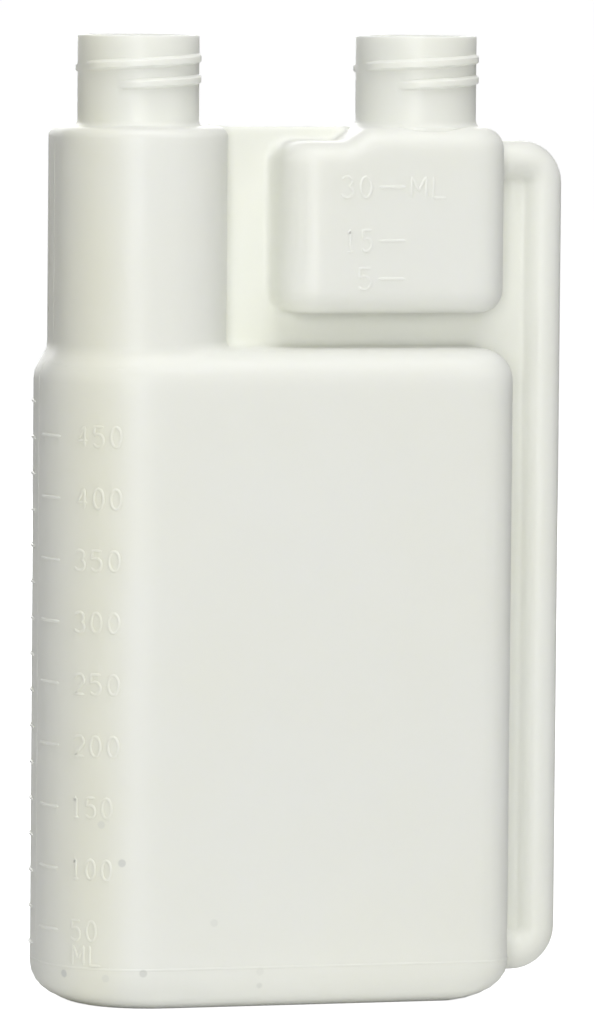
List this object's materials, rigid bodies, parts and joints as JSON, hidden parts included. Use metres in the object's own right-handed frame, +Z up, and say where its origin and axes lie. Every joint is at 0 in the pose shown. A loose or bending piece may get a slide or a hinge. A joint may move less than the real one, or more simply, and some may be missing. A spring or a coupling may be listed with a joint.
{
  "type": "dosing bottle",
  "caption": "Flat blow-moulded plastic bottle with a side dosing chamber, a transfer tube down its edge, webs between them and an open threaded neck on each chamber",
  "frame": {"origin": "centre of the bounding box in plan, at the level of the base that the bottle stands on", "axes": "+X runs across the wide face from the filler column to the transfer tube, -Y is the front with the millilitre marks, +Z is up through the necks"},
  "size_m": [0.1117, 0.045, 0.1985],
  "materials": {
    "natural_plastic": "milky, slightly translucent, fine satin skin"
  },
  "bodies": {
    "root": {"bottle": "natural_plastic"}
  },
  "joints": []
}
